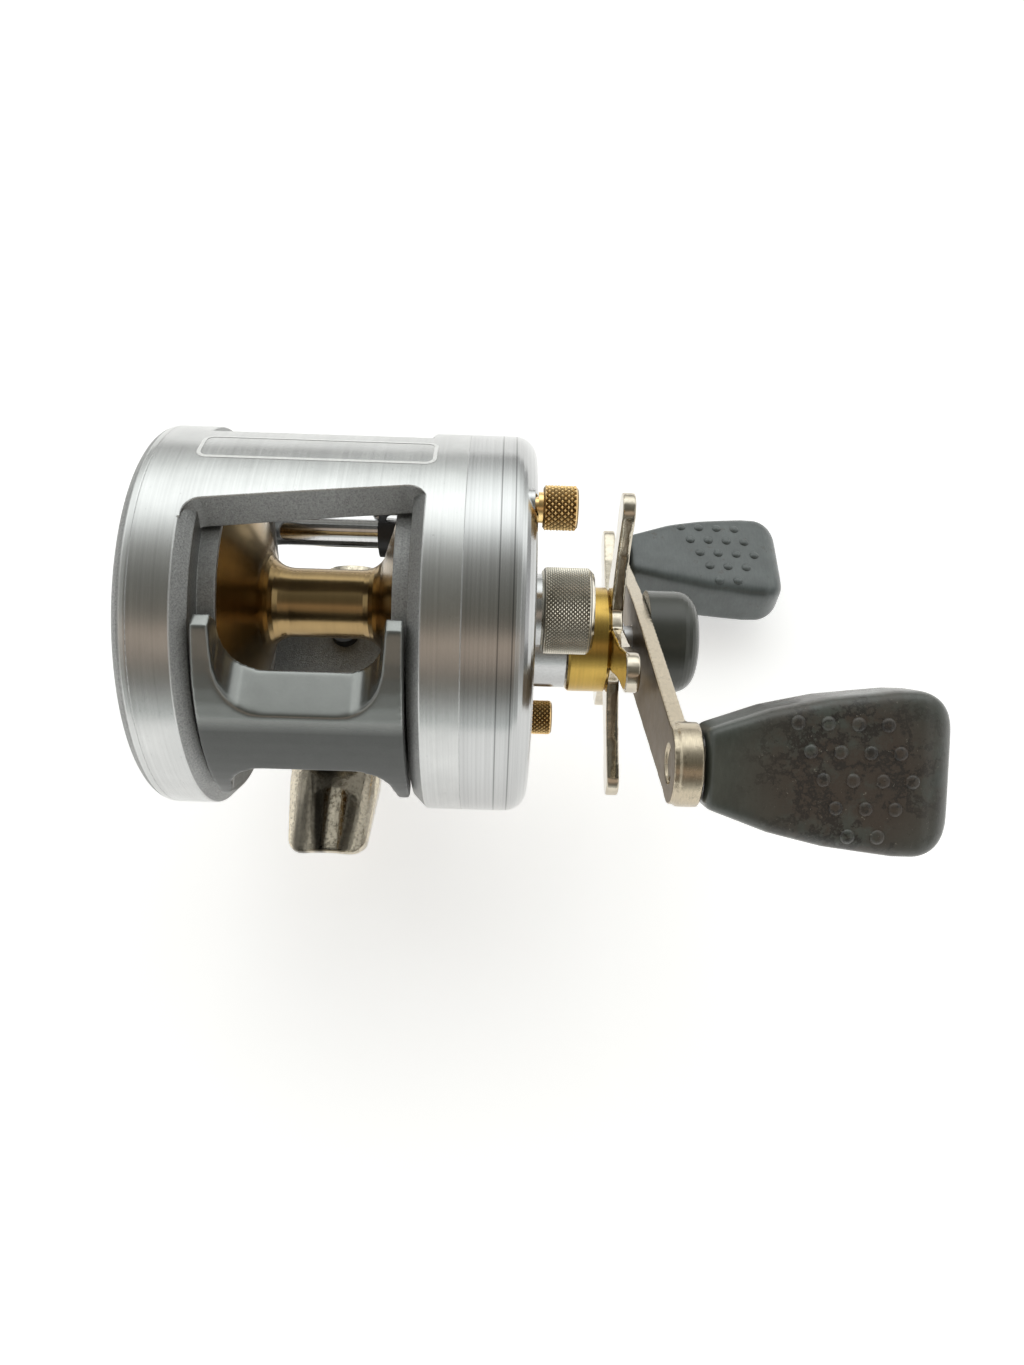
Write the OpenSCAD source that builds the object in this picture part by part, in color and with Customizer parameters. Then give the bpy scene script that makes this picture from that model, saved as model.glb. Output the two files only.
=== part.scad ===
// Baitcasting reel, round one-piece frame, right-hand wind.
// X runs along the spool toward the handle, +Y faces the line guide,
// Z is up.  The origin is the centre of the rod-seat saddle under the foot.

/* [Assembly] */
// sub-part to draw on its own, "all" draws the whole reel

/* [Frame] */
// outer radius of both rims
rim_r = 29; // [24:0.5:34]
// height of the rim axis above the rod-seat centre
axis_z = 41; // [36:0.5:46]
// outside of the palm-side cover
palm_face = -21; // [-24:0.5:-18]
// joint between palm cover and frame
palm_joint = -18.6; // [-20:0.1:-17]
// window side of the palm wall
wall_left = -11.2; // [-14:0.1:-9]
// window side of the handle wall
wall_right = 17.35; // [14:0.05:20]
// joint between frame and handle-side plate
seam = 24.5; // [22:0.1:27]
// outer flat of the handle-side plate
plate_face = 34.3; // [31:0.1:38]
// corner rounding of the handle-side plate
plate_round = 3.4; // [1:0.1:5]
// bevel around the rear window
window_bevel = 1.9; // [0.5:0.1:2.5]
// rounding of the upper corners of the rear window
window_corner = 2.6; // [1:0.1:4]
// front edge of the top crossbar, degrees above the front
bar_front = 50.5; // [40:0.5:60]
// rear edge of the top crossbar at the palm side
bar_rear_left = 85.5; // [75:0.5:95]
// rear edge of the top crossbar at the handle side
bar_rear_right = 78; // [70:0.5:90]
// inner radius of the top crossbar
bar_inner = 24.7; // [24:0.1:27]

/* [Spool] */
// spool axis ahead of the rim axis
spool_y = 0.5; // [-2:0.1:3]
// spool axis height
spool_z = 45.4; // [42:0.1:49]
// spool flange radius
flange_r = 18.4; // [15:0.1:20]
// arbor radius
arbor_r = 5.3; // [4:0.1:9]
// outer faces of the two flanges
spool_x = [-10.4, 16.6]; // [-12:0.1:18]
// spool shaft radius
spool_shaft_r = 1.55; // [1.2:0.05:2]

/* [Drive] */
// drive shaft axis, [forward, up]
drive_axis = [3.8, 29.75]; // [0:0.1:40]
// drive shaft radius
drive_r = 3; // [2.5:0.1:4]
// teeth of the main gear
main_teeth = 61; // [40:1:80]
// teeth of the pinion
pinion_teeth = 12; // [10:1:20]
// tip radius of the star wheel
star_r = 26.3; // [18:0.1:28]
// half the distance between the two knobs
arm_half = 44; // [35:0.5:55]
// direction of the handle at rest, degrees above the front
arm_angle = 138.3; // [0:0.1:360]

/* [Level wind] */
// worm shaft axis, [forward, up]
worm_axis = [21.5, 34.3]; // [18:0.1:40]
// outer radius of the worm guard tube
tube_r = 3.2; // [2.5:0.1:4]
// guide rail axis, [forward, up]
rail_axis = [24.2, 45.8]; // [20:0.1:50]
// resting place of the line guide along X
guide_x = 11; // [-6:0.1:12.1]
// teeth of the level-wind cog, idler and worm gear
cog_teeth = [24, 20, 16]; // [12:1:30]

/* [Knobs] */
// knob length
knob_len = 31.4; // [25:0.1:38]
// widest part of a knob
knob_w = 21.5; // [14:0.1:24]
// thickness of a knob
knob_t = 12.2; // [8:0.1:16]

/* [Foot] */
// radius of the rod seat the foot is shaped for
seat_r = 8.5; // [7:0.1:10]
// plate thickness
foot_t = 1.5; // [1:0.1:2.5]
// overall length
foot_len = 58; // [48:0.5:66]
// width at the root
foot_w = 16.4; // [12:0.1:18]

/* [Hidden] */
$fn = 64;
lip_x = 2.45;
lip_r = 19.6;
bore_r = 18.9;
spool_c = [spool_y, spool_z];
rim_c = [0, axis_z];
main_module = 2 * norm(spool_c - drive_axis) / (main_teeth + pinion_teeth);
cog_module = 0.5;
cog_reach = [(cog_teeth[0] + cog_teeth[1]) * cog_module / 2, (cog_teeth[1] + cog_teeth[2]) * cog_module / 2];
worm_span = norm(worm_axis - drive_axis);
worm_dir = (worm_axis - drive_axis) / worm_span;
reach_gap = cog_reach[0] * cog_reach[0] - cog_reach[1] * cog_reach[1];
idler_along = (reach_gap + worm_span * worm_span) / (2 * worm_span);
idler_drop = sqrt(cog_reach[0] * cog_reach[0] - idler_along * idler_along);
idler_axis = drive_axis + worm_dir * idler_along + [worm_dir[1], -worm_dir[0]] * idler_drop;
plate_inner = 32.6;
mech_x = [22.7, 24.2];
mech_r = 23.6;
cog_x = [19.6, 21.4];
yoke_x = [25.3, 26.85];
groove_r = 2.02;
gear_x = [26.9, 30.3];
thumb_travel = 4;
tab_y = [-23.2, -20.6];
tab_z = [44.8, 49.2];
screw_ring = 25.8;
screw_turn = 79;
cap_x = [35.7, 43.6];
hub_x = [40.8, 47.5];
arm_x = [51.8, 54];
boss_x = [52.7, 55.5];
knob_x = 55.9;
palm_screws_at = [80, 200, 300];
pawl_pivot = drive_axis + [-10.6, -3];
pawl_open = 18;
ratchet_turn = 20;
near_at = drive_axis + arm_half * [cos(arm_angle), sin(arm_angle)];
far_at = drive_axis - arm_half * [cos(arm_angle), sin(arm_angle)];
pinion_turn = mesh(heading(drive_axis, spool_c), 0, main_teeth, pinion_teeth);
idler_turn = mesh(heading(drive_axis, idler_axis), 0, cog_teeth[0], cog_teeth[1]);
worm_turn = mesh(heading(idler_axis, worm_axis), idler_turn, cog_teeth[1], cog_teeth[2]);
star_turn = -33;
post_at = [35, 125, 215];
post_ring = 21;

// ---------- helpers ----------

// extrude a [forward, up] outline along the spool direction
module along_x(x0, x1) {
    translate([x0, 0, 0])
        rotate([90, 0, 90])
            linear_extrude(x1 - x0)
                children();
}

// solid cylinder parallel to the spool
module rod_x(at, r, x0, x1) {
    along_x(x0, x1)
        translate(at)
            circle(r);
}

// ring parallel to the spool
module ring_x(at, r_out, r_in, x0, x1) {
    difference() {
        rod_x(at, r_out, x0, x1);
        rod_x(at, r_in, x0 - 1, x1 + 1);
    }
}

// revolve an outline of [radius, x] pairs around an axis parallel to the spool
module turned(at, outline) {
    translate([0, at[0], at[1]])
        rotate([0, 90, 0])
            rotate_extrude($fn = 96)
                polygon(outline);
}

// pie slice around the rim axis
module slice(a0, a1, x0, x1) {
    along_x(x0, x1)
        translate(rim_c)
            polygon(concat([[0, 0]], arc([0, 0], 60, a0, a1, 4)));
}

function polar(r, a) = [r * cos(a), r * sin(a)];

function arc(c, r, a0, a1, n) = [for (i = [0:n]) c + polar(r, a0 + (a1 - a0) * i / n)];

// turn that puts a gear in mesh with one whose turn is known
function mesh(dir, turn, teeth, mate) = dir + 180 - (0.5 - (dir - turn) * teeth / 360) * 360 / mate;

function heading(a, b) = atan2(b[1] - a[1], b[0] - a[0]);

// spur gear outline with straight flanks
module gear(at, teeth, m, turn) {
    pitch = m * teeth / 2;
    step = 360 / teeth;
    translate(at)
        polygon([for (i = [0:teeth - 1])
            for (p = [[-0.35, -1.1], [-0.2, 0], [-0.08, 0.8], [0.08, 0.8], [0.2, 0], [0.35, -1.1]])
                polar(pitch + p[1] * m, turn + (i + p[0]) * step)]);
}

// pan-head screw lying along X, head toward +X when side is 1
module screw_x(at, head_r, shank_r, x_head, head_t, length, side) {
    x0 = side > 0 ? x_head : x_head - head_t;
    s0 = side > 0 ? x_head - length : x_head;
    slot = side > 0 ? x0 + head_t - 0.6 : x0 - 1;
    difference() {
        union() {
            rod_x(at, head_r, x0, x0 + head_t);
            rod_x(at, shank_r, s0, s0 + length);
        }
        along_x(slot, slot + 1.6)
            translate(at)
                square([head_r * 3, 0.7], center = true);
    }
}

// ---------- frame and covers ----------

module crossbar_top() {
    reach = window_bevel + 0.5;
    difference() {
        intersection() {
            ring_x(rim_c, rim_r, bar_inner, wall_left - reach, wall_right + reach);
            slice(bar_front, 104, wall_left - reach, wall_right + reach);
        }
        window_edge();
    }
}

// slanted, bevelled rear edge of the top crossbar with rounded corners
module window_edge() {
    left = polar(rim_r, bar_rear_left) + rim_c;
    right = polar(rim_r, bar_rear_right) + rim_c;
    x0 = -window_bevel;
    x1 = wall_right - wall_left + window_bevel;
    slope = atan2(right[0] - left[0], wall_right - wall_left);
    translate([wall_left, left[0], left[1]])
        rotate([-24, 0, slope])
            translate([0, 0, -12])
                linear_extrude(20) {
                    for (x = [x0 + window_corner, x1 - window_corner])
                        translate([x, -window_corner])
                            circle(window_corner);
                    translate([x0 + window_corner, -30])
                        square([x1 - x0 - 2 * window_corner, 30]);
                    translate([x0 - 3, -30])
                        square([x1 - x0 + 6, 30 - window_corner]);
                }
}

module crossbar_bottom() {
    intersection() {
        ring_x(rim_c, 28.4, 25, wall_left - 1, wall_right + 1);
        slice(-122, -54, wall_left - 1, wall_right + 1);
    }
}

module frame_blank() {
    difference() {
        union() {
            rod_x(rim_c, rim_r, palm_joint, wall_left);
            rod_x(rim_c, rim_r, wall_right, seam);
        }
        rim_bevel(wall_left, 1, bar_rear_left - 12, 236);
        rim_bevel(wall_right, -1, bar_rear_right - 12, 236);
        rim_bevel(wall_left, 1, -52, bar_front + 12);
        rim_bevel(wall_right, -1, -52, bar_front + 12);
    }
    crossbar_top();
    crossbar_bottom();
    rod_x(spool_c, lip_r, wall_left - 1, wall_left + lip_x);
    rod_x(spool_c, lip_r, wall_right - lip_x, wall_right + 1);
}

// bevel around the inner edge of one rim between two angles
module rim_bevel(x_wall, side, a0, a1) {
    x_far = x_wall - side * window_bevel;
    inner = rim_r - window_bevel;
    intersection() {
        turned(rim_c, [[rim_r + 1, x_far - side], [inner - 1, x_wall + side], [rim_r + 1, x_wall + side]]);
        slice(a0, a1, x_wall - 4, x_wall + 4);
    }
}

module frame() {
    color("silver")
        difference() {
            union() {
                difference() {
                    frame_blank();
                    rod_x(rim_c, 25.8, palm_joint - 1, -13.2);
                }
                for (a = palm_screws_at)
                    rod_x(rim_c + polar(21.5, a), 2.6, palm_joint, -13);
                rod_x(worm_axis, 4.4, -15.2, wall_left);
                rod_x(rail_axis, 2.6, -15.2, wall_left);
            }
            rod_x(spool_c, 12.2, palm_joint - 1, wall_left + 0.1);
            rod_x(spool_c, bore_r, wall_left, wall_left + lip_x + 1);
            rod_x(spool_c, bore_r, wall_right - lip_x - 1, seam + 1);
            rod_x(rim_c, mech_r + 0.3, mech_x[0], seam + 1);
            rod_x(drive_axis, 7.2, 18.9, seam);
            rod_x(idler_axis, 6.1, 18.9, seam);
            rod_x(worm_axis, 5.1, 18.9, seam + 1);
            rod_x(worm_axis, tube_r, -14.2, 19.2);
            rod_x(rail_axis, 1.2, -14.2, 21);
            for (a = post_at)
                rod_x(rim_c + polar(post_ring, a), 2, mech_x[0] - 1.2, seam);
            for (a = palm_screws_at)
                rod_x(rim_c + polar(21.5, a), 1.1, palm_joint - 1, -13.6);
            for (a = [screw_turn, screw_turn + 180])
                rod_x(rim_c + polar(screw_ring, a), 1.5, 19.5, seam + 1);
            translate([-15, tab_y[0] - 0.3, tab_z[0] - thumb_travel - 0.4])
                cube([60, tab_y[1] - tab_y[0] + 0.6, tab_z[1] - tab_z[0] + thumb_travel + 0.8]);
            for (y = [-9.8, 9.8])
                translate([1.2, y, 10])
                    cylinder(h = 8, r = 1.3);
        }
}

module palm_cover() {
    color("silver")
        difference() {
            union() {
                turned(rim_c, concat([[0, palm_joint], [0, palm_face]],
                    [for (p = arc([rim_r - 2.2, palm_face + 2.2], 2.2, -90, 0, 6)) p],
                    [[rim_r, palm_joint]]));
                ring_x(rim_c, 25.6, 23.8, palm_joint - 1, -16.9);
                rod_x(spool_c, 6.2, palm_joint - 1, -14.7);
            }
            rod_x(spool_c, 4.5, -17.8, -14);
            rod_x(spool_c, 1.9, -19.4, -17);
            for (a = palm_screws_at)
                rod_x(rim_c + polar(21.5, a), 1.3, palm_face - 1, -16);
            for (a = palm_screws_at)
                rod_x(rim_c + polar(21.5, a), 2.85, -17.7 - 0.9, -16);
        }
}

module palm_screws() {
    color("gainsboro")
        for (a = palm_screws_at)
            screw_x(rim_c + polar(21.5, a), 2.2, 1.1, palm_face, 1.1, 6.6, -1);
}

module gear_plate() {
    rr = rim_r - plate_round;
    color("silver")
        difference() {
            union() {
                difference() {
                    turned(rim_c, concat([[0, seam], [rim_r, seam]],
                        arc([rr, plate_face - plate_round], plate_round, 0, 90, 8), [[0, plate_face]]));
                    rod_x(rim_c, 27.2, seam - 1, plate_inner);
                }
                rod_x(spool_c, 5.6, plate_inner - 0.5, 40.4);
                rod_x(drive_axis, 8.3, plate_inner - 0.5, 40.5);
                for (a = [screw_turn, screw_turn + 180])
                    intersection() {
                        rod_x(rim_c + polar(screw_ring, a), 2.6, seam, plate_face - 0.5);
                        rod_x(rim_c, rim_r - 0.3, seam, plate_face);
                    }
            }
            rod_x(spool_c, 4.5, plate_inner - 2, 36.2);
            rod_x(spool_c, 2.2, 36, 41);
            rod_x(drive_axis, 7, 35.2, 41);
            rod_x(drive_axis, 4.9, plate_inner - 2, 36);
            for (a = [screw_turn, screw_turn + 180])
                rod_x(rim_c + polar(screw_ring, a), 1.6, seam - 1, plate_face + 1);
            rod_x(rim_c + polar(25.6, screw_turn + 168), 0.9, plate_face - 2, plate_face + 1);
        }
}

module mechanism_plate() {
    color("lightsteelblue")
        difference() {
            rod_x(rim_c, mech_r, mech_x[0], mech_x[1]);
            rod_x(spool_c, 4.6, 20, 30);
            rod_x(drive_axis, 5, 20, 30);
            rod_x(idler_axis, 0.9, 20, 30);
            translate([20, tab_y[0] - 0.4, tab_z[0] - thumb_travel - 0.5])
                cube([10, tab_y[1] - tab_y[0] + 3, tab_z[1] - tab_z[0] + thumb_travel + 1]);
            for (a = post_at)
                rod_x(rim_c + polar(post_ring, a), 1, 20, 30);
            for (y = [spool_y - 7.2, spool_y + 7.2])
                rod_x([y, spool_z + 1], 0.9, 20, 30);
            rod_x(pawl_pivot, 0.9, 20, 30);
        }
}

module plate_posts() {
    color("silver")
        for (a = post_at)
            ring_x(rim_c + polar(post_ring, a), 2, 1, mech_x[1], plate_inner);
}

module mechanism_screws() {
    color("gainsboro")
        for (a = post_at)
            screw_x(rim_c + polar(post_ring, a), 1.7, 0.95, mech_x[0] - 0.02, 0.9, 6, -1);
}

module plate_screw() {
    color("gainsboro")
        screw_x(rim_c + polar(25.6, screw_turn + 168), 1.7, 0.85, plate_face, 0.9, 1.6, 1);
}

// thumb screw at angle a, turned in by the given amount
module takedown_screw(a, in) {
    at = rim_c + polar(screw_ring, a);
    r = 3.05;
    x0 = 34.9 - in;
    x1 = 39.7 - in;
    color("goldenrod")
        difference() {
            union() {
                rod_x(at, 1.45, 20, 35);
                rod_x(at, 2.1, plate_face, x0 + 0.2);
                turned(at, [[0, x0], [r - 0.45, x0], [r, x0 + 0.3], [r, x1 - 0.5], [r - 0.45, x1], [0, x1]]);
            }
            along_x(x1 - 0.7, x1 + 1)
                translate(at)
                    square([8, 0.8], center = true);
        }
}

module takedown_screw_top() {
    takedown_screw(screw_turn, 0);
}

module takedown_screw_bottom() {
    takedown_screw(screw_turn + 180, 0.5);
}

// ---------- foot ----------

module foot_plan() {
    half = foot_len / 2;
    w = foot_w / 2;
    tip = w - 1.1;
    polygon(concat([[w, 0], [w, half - 14]], arc([tip - 3.4, half - 3.4], 3.4, 0, 90, 5),
        arc([-tip + 3.4, half - 3.4], 3.4, 90, 180, 5), [[-w, half - 14], [-w, -half + 14]],
        arc([-tip + 3.4, -half + 3.4], 3.4, 180, 270, 5), arc([tip - 3.4, -half + 3.4], 3.4, 270, 360, 5),
        [[w, -half + 14]]));
}

module reel_foot() {
    color("gainsboro")
        difference() {
            union() {
                intersection() {
                    rotate([90, 0, 0])
                        cylinder(h = foot_len + 2, r = seat_r + foot_t, center = true);
                    linear_extrude(30)
                        foot_plan();
                }
                translate([-6, -13.5, seat_r - 0.6])
                    cube([12, 27, 8.4]);
            }
            rotate([90, 0, 0])
                cylinder(h = foot_len + 4, r = seat_r, center = true);
            rod_x(rim_c, 28.4, -30, 30);
            for (y = [-9.8, 9.8])
                translate([1.2, y, 6])
                    cylinder(h = 12, r = 1.3);
        }
}

module foot_screws() {
    color("dimgray")
        for (y = [-9.8, 9.8])
            translate([1.2, y, 0])
                difference() {
                    union() {
                        translate([0, 0, 9.6])
                            cylinder(h = 8, r = 1.25);
                        intersection() {
                            translate([0, 0, 15])
                                cylinder(h = 4.2, r = 2.6);
                            translate([-1.2, -y, 0])
                                rod_x(rim_c, 24.96, -10, 10);
                        }
                    }
                    translate([0, 0, 17.2])
                        cylinder(h = 3, r = 1.6, $fn = 6);
                }
}

// ---------- bearings and brake ----------

module ball_bearing(at, r_out, r_in, x0, x1) {
    mid = (r_out + r_in) / 2;
    difference() {
        ring_x(at, r_out, r_in, x0, x1);
        ring_x(at, mid + 0.5, mid - 0.5, x0 - 1, x0 + 0.35);
        ring_x(at, mid + 0.5, mid - 0.5, x1 - 0.35, x1 + 1);
    }
}

module left_bearing() {
    color("gainsboro")
        ball_bearing(spool_c, 4.5, spool_shaft_r + 0.03, -17.7, -14.9);
}

module right_bearing() {
    color("gainsboro")
        ball_bearing(spool_c, 4.5, spool_shaft_r + 0.03, 33.3, 36);
}

module pinion_bearing() {
    color("gainsboro")
        ball_bearing(spool_c, 4.6, 2.45, mech_x[0] - 0.4, mech_x[1]);
}

module drive_bearing() {
    color("gainsboro")
        ball_bearing(drive_axis, 5, 2.45, mech_x[0] - 0.4, mech_x[1]);
}

module boss_bearing() {
    color("gainsboro")
        ball_bearing(drive_axis, 7, 4.45, 36.2, 40.2);
}

module brake_drum() {
    color("burlywood")
        difference() {
            rod_x(spool_c, 11.8, -16.6, -11.5);
            rod_x(spool_c, 10.4, -15.8, -11);
            rod_x(spool_c, 6.2, -17, -11);
        }
}

// ---------- spool ----------

module spool() {
    x0 = spool_x[0];
    x1 = spool_x[1];
    neck = 4;
    root = 4.4;
    rim = 1.1;
    hub_r = 9;
    left = arc([arbor_r + neck, x0 + root + neck], neck, 262, 180, 7);
    right = arc([arbor_r + neck, x1 - root - neck], neck, 180, 98, 7);
    color("goldenrod")
        turned(spool_c, concat([[spool_shaft_r, x0 + 0.6], [hub_r, x0 + 0.6], [hub_r + 0.6, x0]],
            [[flange_r, x0], [flange_r, x0 + rim]], left, right, [[flange_r, x1 - rim], [flange_r, x1]],
            [[hub_r + 0.6, x1], [hub_r, x1 - 0.6], [spool_shaft_r, x1 - 0.6]]));
}

module spool_shaft() {
    color("gainsboro")
        difference() {
            turned(spool_c, [[0, -18.6], [0.8, -18.6], [spool_shaft_r, -17.9], [spool_shaft_r, 39.2],
                [0.7, 40.1], [0, 40.1]]);
            translate([21.6, spool_y, spool_z])
                cylinder(h = 10, r = 0.6, center = true);
        }
}

module clutch_pin() {
    color("dimgray")
        translate([21.6, spool_y, spool_z])
            cylinder(h = 5.6, r = 0.6, center = true);
}

module brake_hub() {
    color("gainsboro")
        difference() {
            union() {
                rod_x(spool_c, 3.3, -13.9, spool_x[0] + 0.6);
                for (a = [0:90:270])
                    translate([-12.6, spool_y, spool_z])
                        rotate([a, 0, 0])
                            cylinder(h = 9.8, r = 0.5);
            }
            rod_x(spool_c, spool_shaft_r, -20, 0);
        }
}

module brake_blocks() {
    color("ivory")
        for (a = [0:90:270])
            translate([-12.6, spool_y, spool_z])
                rotate([a, 0, 0])
                    translate([0, 0, 5.6])
                        difference() {
                            cylinder(h = 3.2, r = 1.3);
                            translate([0, 0, -1])
                                cylinder(h = 6, r = 0.5);
                        }
}

// ---------- clutch ----------

module pinion() {
    color("goldenrod")
        difference() {
            union() {
                rod_x(spool_c, 2.4, 20.9, yoke_x[0] - 0.05);
                rod_x(spool_c, groove_r, yoke_x[0] - 0.05, 27.2);
                along_x(27, 30.6)
                    gear(spool_c, pinion_teeth, main_module, pinion_turn);
            }
            rod_x(spool_c, spool_shaft_r + 0.07, 20, 31);
            translate([20, spool_y - 0.7, spool_z - 4])
                cube([2.3, 1.4, 8]);
        }
}

module yoke() {
    color("gainsboro")
        difference() {
            translate([yoke_x[0], spool_y - 9.2, spool_z - 1.4])
                cube([yoke_x[1] - yoke_x[0], 18.4, 5.2]);
            rod_x(spool_c, groove_r + 0.06, 20, 30);
            translate([20, spool_y - groove_r - 0.06, spool_z - 6])
                cube([10, 2 * groove_r + 0.12, 6]);
            for (y = [spool_y - 7.2, spool_y + 7.2])
                rod_x([y, spool_z + 1], 0.96, 20, 30);
        }
}

module yoke_posts() {
    color("dimgray")
        for (y = [spool_y - 7.2, spool_y + 7.2])
            rod_x([y, spool_z + 1], 0.9, mech_x[0], 32.4);
}

module yoke_springs() {
    color("silver")
        for (y = [spool_y - 7.2, spool_y + 7.2])
            for (x = [yoke_x[1] + 0.05:0.96:31.8])
                ring_x([y, spool_z + 1], 1.6, 1.05, x, x + 0.5);
}

module thumb_saddle() {
    translate(rim_c)
        polygon(concat(arc([0, 0], 28.6, 120.5, 180, 14), [[-28.6, -1.2], [-26.4, -1.2], [-23.4, 2], [-19, 3],
            [-12, 12], [-12.4, 24.2]]));
}

module thumb_bar() {
    x0 = wall_left + 0.55;
    x1 = wall_right - 0.2;
    color("dimgray")
        difference() {
            union() {
                along_x(x0, x1)
                    thumb_saddle();
                for (p = [[wall_left - 2.4, x0 + 1], [x1 - 1, mech_x[1] + 0.9]])
                    translate([p[0], tab_y[0], tab_z[0]])
                        cube([p[1] - p[0], tab_y[1] - tab_y[0], tab_z[1] - tab_z[0]]);
            }
            for (lift = [0:0.5:thumb_travel]) {
                rod_x(spool_c + [0, lift], flange_r + 0.35, x0 - 1, x1 + 1);
                for (x = [x0, x1])
                    rod_x(spool_c + [0, lift], lip_r + 0.4, x - lip_x - 0.1, x + lip_x + 0.1);
            }
            thumb_dish(x0 + 2.8, x1 - 2.8, 57.4, 6, 9, 1);
            thumb_dish(x0 + 2.4, x1 - 2.4, 48, 5.5, 14, -1);
        }
}

// rounded hollow across the bar: above the rest (dir 1) or below it (dir -1)
module thumb_dish(x0, x1, z, r, h, dir) {
    translate([0, -10, z])
        rotate([90, 0, 0])
            linear_extrude(30)
                polygon(dir > 0
                    ? concat(arc([x0 + r, r], r, 180, 270, 6), arc([x1 - r, r], r, 270, 360, 6),
                        [[x1 + 1.2, h + 6], [x0 - 1.2, h + 6]])
                    : concat(arc([x0 + r, -r], r, 180, 90, 6), arc([x1 - r, -r], r, 90, 0, 6),
                        [[x1 + 2, -h], [x0 - 2, -h]]));
}

module clutch_cam() {
    x0 = mech_x[1] + 0.1;
    color("tan")
        difference() {
            union() {
                intersection() {
                    translate([x0, tab_y[0], spool_z - 5])
                        cube([0.8, spool_y + 10 - tab_y[0], 14]);
                    rod_x(rim_c, mech_r - 0.1, x0, x0 + 1);
                    rod_x(rim_c + [0, thumb_travel], mech_r - 0.1, x0, x0 + 1);
                }
                for (y = [spool_y - 3.2, spool_y + 5.6])
                    translate([x0, y, spool_z])
                        rotate([90, 0, 0])
                            linear_extrude(1.8)
                                cam_ramp();
            }
            for (y = [spool_y - 7.2, spool_y + 7.2])
                slot_z([y, spool_z + 1], 1.15);
            slot_z(spool_c, 2.75);
            translate([x0 - 1, tab_y[0] - 1, tab_z[0]])
                cube([5, tab_y[1] - tab_y[0] + 1, tab_z[1] - tab_z[0]]);
        }
}

// wedge that lifts the yoke as the cam slides down
module cam_ramp() {
    polygon([[0, 4.2], [0.8, 4.2], [2.4, 8.2], [2.4, 9], [0, 9]]);
}

// upright slot that lets the cam slide past a fixed pin
module slot_z(at, r) {
    rod_x(at, r, 20, 30);
    rod_x(at + [0, thumb_travel], r, 20, 30);
    translate([20, at[0] - r, at[1]])
        cube([10, 2 * r, thumb_travel]);
}

// ---------- drive ----------

module drive_shaft() {
    color("gainsboro")
        turned(drive_axis, [[0, 19], [1.9, 19], [1.9, 21.6], [2.4, 21.6], [2.4, 24.4], [drive_r, 24.4],
            [drive_r, 50.4], [2.5, 50.4], [2.5, 58.4], [2.1, 58.8], [0, 58.8]]);
}

module level_wind_cog() {
    color("ivory")
        difference() {
            along_x(cog_x[0], cog_x[1])
                gear(drive_axis, cog_teeth[0], cog_module, 0);
            rod_x(drive_axis, 1.9, 10, 30);
        }
}

module idler_gear() {
    color("ivory")
        difference() {
            along_x(cog_x[0], cog_x[1])
                gear(idler_axis, cog_teeth[1], cog_module, idler_turn);
            rod_x(idler_axis, 0.95, 10, 30);
        }
}

module idler_post() {
    color("dimgray")
        union() {
            rod_x(idler_axis, 0.9, 19.3, mech_x[1]);
            rod_x(idler_axis, 1.9, 21.6, mech_x[0]);
        }
}

module worm_gear() {
    color("ivory")
        difference() {
            along_x(cog_x[0], cog_x[1])
                gear(worm_axis, cog_teeth[2], cog_module, worm_turn);
            rod_x(worm_axis, 1.4, 10, 30);
        }
}

module worm_thread(hand) {
    translate([-10.4, worm_axis[0], worm_axis[1]])
        rotate([0, 90, 0])
            linear_extrude(height = 27, twist = hand * 360 * 3, slices = 40, $fn = 16)
                difference() {
                    circle(2.1, $fn = 16);
                    translate([2.1, 0])
                        square([1.1, 1.1], center = true);
                }
}

module worm_shaft() {
    color("gainsboro")
        union() {
            intersection() {
                worm_thread(1);
                worm_thread(-1);
            }
            rod_x(worm_axis, 1.4, -13.6, -10.3);
            rod_x(worm_axis, 1.4, 16.5, 22.2);
        }
}

module worm_bushings() {
    color("goldenrod")
        for (x = [-13.9, 16.9])
            ring_x(worm_axis, 2.6, 1.45, x, x + 2.2);
}

module worm_tube() {
    color("white")
        difference() {
            ring_x(worm_axis, tube_r, 2.6, -14.1, 19.1);
            translate([-9.6, worm_axis[0] - 1.2, worm_axis[1] - 5])
                cube([25.6, 2.4, 4.4]);
        }
}

module guide_rail() {
    color("gainsboro")
        rod_x(rail_axis, 1.2, -14.1, 20.9);
}

module line_guide() {
    h = 2.6;
    wide = 4.2;
    y = [25.4, 28];
    color("dimgray")
        difference() {
            union() {
                rod_x(worm_axis, 4.7, guide_x - h, guide_x + h);
                rod_x(rail_axis, 2.3, guide_x - h, guide_x + h);
                translate([guide_x - wide, y[0], worm_axis[1] - 1])
                    cube([2 * wide, y[1] - y[0], rail_axis[1] - worm_axis[1] + 3]);
                translate([guide_x - h, worm_axis[0], worm_axis[1] - 3])
                    cube([2 * h, y[1] - worm_axis[0], 4.5]);
                translate([guide_x, worm_axis[0], worm_axis[1] - 7])
                    cylinder(h = 5, r = 2.4);
            }
            rod_x(worm_axis, tube_r + 0.06, -20, 30);
            rod_x(rail_axis, 1.26, -20, 30);
            translate([guide_x, 20, 41.2])
                rotate([-90, 0, 0])
                    cylinder(h = 10, r = 3.9);
            translate([guide_x, worm_axis[0], worm_axis[1] - 8])
                cylinder(h = 8, r = 1.1);
        }
}

module guide_insert() {
    color("white")
        translate([guide_x, 25.1, 41.2])
            rotate([-90, 0, 0])
                difference() {
                    union() {
                        cylinder(h = 3.2, r = 3.9);
                        translate([0, 0, 2.9])
                            cylinder(h = 0.6, r = 4.3);
                    }
                    translate([0, 0, -1])
                        cylinder(h = 6, r = 3.1);
                }
}

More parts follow.
